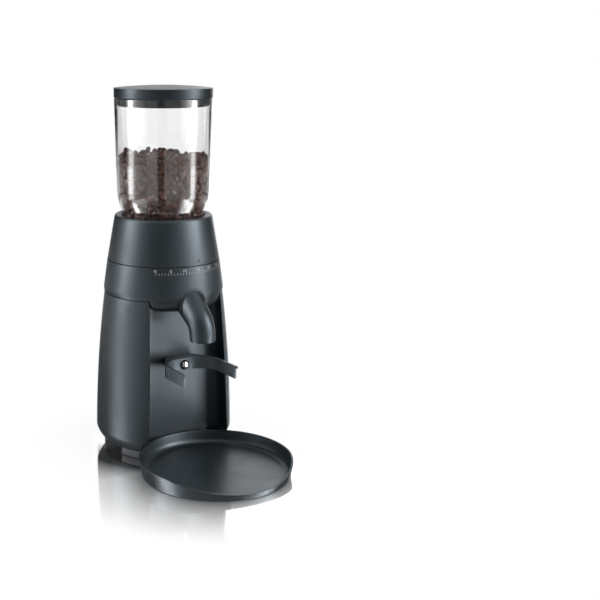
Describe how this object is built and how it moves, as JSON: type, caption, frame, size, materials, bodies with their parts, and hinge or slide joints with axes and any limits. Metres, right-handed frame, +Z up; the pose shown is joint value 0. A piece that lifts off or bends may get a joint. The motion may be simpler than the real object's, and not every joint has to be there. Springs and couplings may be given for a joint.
{
  "type": "burr coffee grinder",
  "caption": "Free-standing burr coffee grinder: clear bean hopper on a turning grind collar, tapered dark housing with a portafilter recess, elbow spout, fork and loose tray",
  "frame": {"origin": "centre of the footprint's bounding box, on the table under the feet", "axes": "+Z up, -Y towards the user (spout, fork and tray), +X to the right of a user who faces the spout"},
  "size_m": [0.1576, 0.2605, 0.3832],
  "materials": {
    "body_plastic": "satin moulded plastic, dark blue-grey",
    "clear_plastic": "clear moulded plastic",
    "seal_rubber": "soft black rubber",
    "foot_rubber": "grey rubber",
    "inner_plastic": "black moulded plastic",
    "rocker_plastic": "glossy black plastic",
    "burr_steel": "hardened ground steel",
    "shaft_steel": "turned steel",
    "button_chrome": "polished chrome",
    "gear_plastic": "pale moulded nylon",
    "bush_brass": "sintered bronze",
    "motor_metal": "zinc-plated steel can",
    "core_iron": "laminated iron and ferrite",
    "board_green": "green lacquered circuit board"
  },
  "bodies": {
    "base": {"body_shell": "body_plastic", "base_plate": "inner_plastic", "feet": "foot_rubber", "base_screws": "shaft_steel", "rectifier_board": "board_green", "scale_ring": "body_plastic", "grinding_chamber": "inner_plastic", "spout": "body_plastic", "spout_boss": "body_plastic", "gearbox_case": "inner_plastic", "gearbox_cover": "inner_plastic", "gearbox_screws": "shaft_steel", "idler_shaft": "shaft_steel", "shaft_bearings": "bush_brass", "motor_can": "motor_metal", "motor_end_cap": "inner_plastic", "carbon_brushes": "core_iron", "motor_magnets": "core_iron", "motor_bushes": "bush_brass", "switch_bracket": "shaft_steel", "microswitch": "inner_plastic", "button_spring": "shaft_steel", "switch_frame": "inner_plastic", "cable_inlet": "seal_rubber"},
    "collar": {"grind_collar": "body_plastic"},
    "carrier": {"burr_carrier": "inner_plastic", "ring_burr": "burr_steel"},
    "hopper": {"bean_hopper": "clear_plastic"},
    "lid": {"hopper_lid": "body_plastic", "lid_seal": "seal_rubber"},
    "rotor": {"motor_shaft": "shaft_steel", "armature": "core_iron", "motor_pinion": "bush_brass"},
    "idler": {"idler_gear": "gear_plastic"},
    "burr_drive": {"drive_shaft": "shaft_steel", "output_gear": "gear_plastic", "sweeper": "gear_plastic", "cone_burr": "burr_steel", "burr_bolt": "shaft_steel"},
    "button": {"start_button": "button_chrome"},
    "rocker": {"power_rocker": "rocker_plastic"},
    "holder": {"portafilter_holder": "body_plastic"},
    "tray": {"grounds_tray": "body_plastic"}
  },
  "joints": [
    {"name": "grind_adjust", "type": "hinge", "parent": "base", "child": "collar", "pos_m": [0, 0.05525, 0.228], "axis": [0, 0, 1], "range_deg": [-45, 75]},
    {"name": "burr_lift", "type": "slide", "parent": "base", "child": "carrier", "axis": [0, 0, 1], "range_m": [-0.0007, 0.0012]},
    {"name": "hopper_lift", "type": "slide", "parent": "collar", "child": "hopper", "axis": [0, 0, 1], "range_m": [0, 0.06]},
    {"name": "lid_lift", "type": "slide", "parent": "hopper", "child": "lid", "axis": [0, 0, 1], "range_m": [0, 0.06]},
    {"name": "motor_spin", "type": "hinge", "parent": "base", "child": "rotor", "pos_m": [0, 0.08095, 0.07], "axis": [0, 0, 1], "continuous": true},
    {"name": "idler_spin", "type": "hinge", "parent": "base", "child": "idler", "pos_m": [-0.02457, 0.07246, 0.13], "axis": [0, 0, 1], "continuous": true},
    {"name": "burr_spin", "type": "hinge", "parent": "base", "child": "burr_drive", "pos_m": [0, 0.05525, 0.16], "axis": [0, 0, 1], "continuous": true},
    {"name": "start_press", "type": "slide", "parent": "base", "child": "button", "axis": [0, 1, 0], "range_m": [0, 0.004], "stiffness_N_per_m": 400, "deforming": ["button_spring"]},
    {"name": "power_rock", "type": "hinge", "parent": "base", "child": "rocker", "pos_m": [0, 0.12565, 0.052], "axis": [-1, 0, 0], "range_deg": [0, 14]},
    {"name": "tray_pull", "type": "slide", "parent": "base", "child": "tray", "axis": [0, -1, 0], "range_m": [0, 0.12]},
    {"name": "holder_pull", "type": "slide", "parent": "base", "child": "holder", "axis": [0, -1, 0], "range_m": [0, 0.06]}
  ],
  "couplings": [
    {"joint": "burr_lift", "follows": "grind_adjust", "m_per_rad": 0.00086},
    {"joint": "idler_spin", "follows": "motor_spin", "ratio": -0.3},
    {"joint": "burr_spin", "follows": "motor_spin", "ratio": 0.1}
  ]
}
